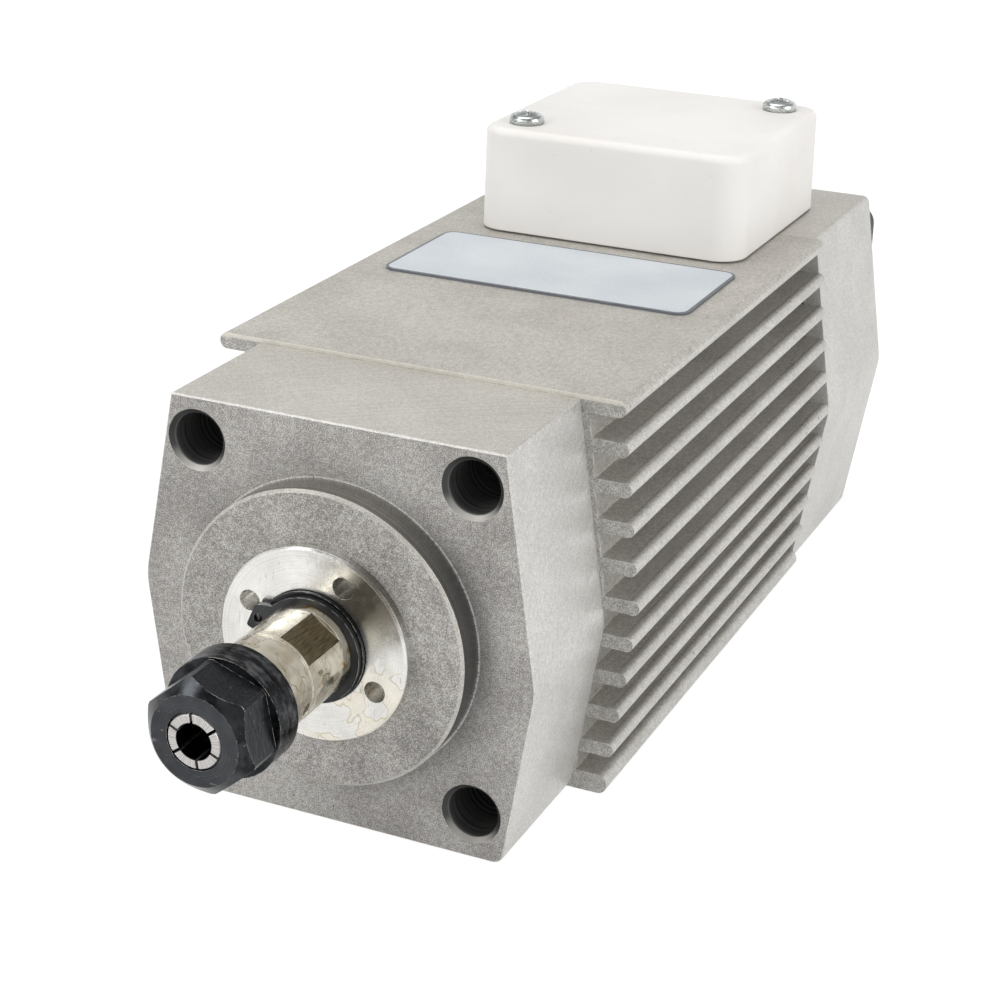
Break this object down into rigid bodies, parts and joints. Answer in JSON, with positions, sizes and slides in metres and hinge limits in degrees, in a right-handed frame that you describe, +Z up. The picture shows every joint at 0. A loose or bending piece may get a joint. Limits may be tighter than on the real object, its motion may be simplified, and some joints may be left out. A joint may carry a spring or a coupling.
{
  "type": "motor spindle",
  "caption": "Square air-cooled motor spindle with a finned housing, a terminal box, a flanged nose with wrench flats, and a collet held by a hexagonal nut.",
  "frame": {"origin": "on the spindle axis, in the plane of the front bracket's front face", "axes": "+Y along the spindle axis from the nose to the rear, +Z up towards the terminal box, +X to the right as seen from the nose"},
  "size_m": [0.0844, 0.234, 0.0964],
  "materials": {
    "cast_aluminium": "blasted",
    "extruded_aluminium": "satin",
    "polished_steel": "polished",
    "ground_steel": "ground",
    "black_steel": "black oxide",
    "collet_steel": "ground",
    "bearing_steel": "polished",
    "cage_polyamide": "satin",
    "spring_steel": "bright",
    "zinc_plated_steel": "zinc plated",
    "laminated_steel": "stacked sheet",
    "copper_winding": "varnished",
    "lead_insulation": "satin",
    "cast_rotor_aluminium": "as cast",
    "black_plastic": "fine grained",
    "white_plastic": "satin",
    "terminal_plastic": "satin",
    "terminal_brass": "nickel plated",
    "black_rubber": "matt",
    "name_plate_aluminium": "anodised"
  },
  "bodies": {
    "housing": {"front_bracket": "cast_aluminium", "finned_housing": "extruded_aluminium", "rear_bracket": "cast_aluminium", "bearing_retaining_ring": "polished_steel", "front_bearing_outer_rings": "bearing_steel", "outer_bearing_spacer": "ground_steel", "rear_bearing_outer_ring": "bearing_steel", "wave_spring": "spring_steel", "stator_core": "laminated_steel", "stator_winding": "copper_winding", "winding_leads": "lead_insulation", "front_tie_screws": "black_steel", "rear_tie_screws": "black_steel", "fan_cover": "black_plastic", "fan_cover_screws": "zinc_plated_steel", "terminal_box_cover": "white_plastic", "terminal_box_gasket": "black_rubber", "terminal_box_screws": "zinc_plated_steel", "terminal_block": "terminal_plastic", "terminal_block_screws": "terminal_brass", "earth_screw": "terminal_brass", "cable_grommet": "black_rubber", "name_plate": "name_plate_aluminium"},
    "spindle": {"shaft": "ground_steel", "front_bearing_inner_rings": "bearing_steel", "inner_bearing_spacer": "ground_steel", "rear_bearing_inner_ring": "bearing_steel", "rotor_core": "laminated_steel", "rotor_cage": "cast_rotor_aluminium", "labyrinth_ring": "black_steel", "front_circlip": "black_steel", "rear_circlips": "black_steel", "fan_impeller": "black_plastic"},
    "front_ball_set": {"front_bearing_cages": "cage_polyamide", "front_bearing_balls": "bearing_steel"},
    "rear_ball_set": {"rear_bearing_cage": "cage_polyamide", "rear_bearing_balls": "bearing_steel"},
    "collet": {"collet": "collet_steel"},
    "collet_nut": {"collet_nut": "black_steel"}
  },
  "joints": [
    {"name": "spindle_spin", "type": "hinge", "parent": "housing", "child": "spindle", "pos_m": [0, 0, 0], "axis": [0, 1, 0], "continuous": true},
    {"name": "front_ball_set_spin", "type": "hinge", "parent": "housing", "child": "front_ball_set", "pos_m": [0, 0.0094, 0], "axis": [0, 1, 0], "continuous": true},
    {"name": "rear_ball_set_spin", "type": "hinge", "parent": "housing", "child": "rear_ball_set", "pos_m": [0, 0.15, 0], "axis": [0, 1, 0], "continuous": true},
    {"name": "collet_slide", "type": "slide", "parent": "spindle", "child": "collet", "axis": [0, -1, 0], "range_m": [0, 0.0076]},
    {"name": "nut_turn", "type": "hinge", "parent": "collet", "child": "collet_nut", "pos_m": [0, -0.0364, 0], "axis": [0, -1, 0], "range_deg": [0, 3600]}
  ],
  "couplings": [
    {"joint": "front_ball_set_spin", "follows": "spindle_spin", "ratio": 0.41702},
    {"joint": "rear_ball_set_spin", "follows": "spindle_spin", "ratio": 0.385},
    {"joint": "collet_slide", "follows": "nut_turn", "m_per_rad": 0.00011937}
  ]
}
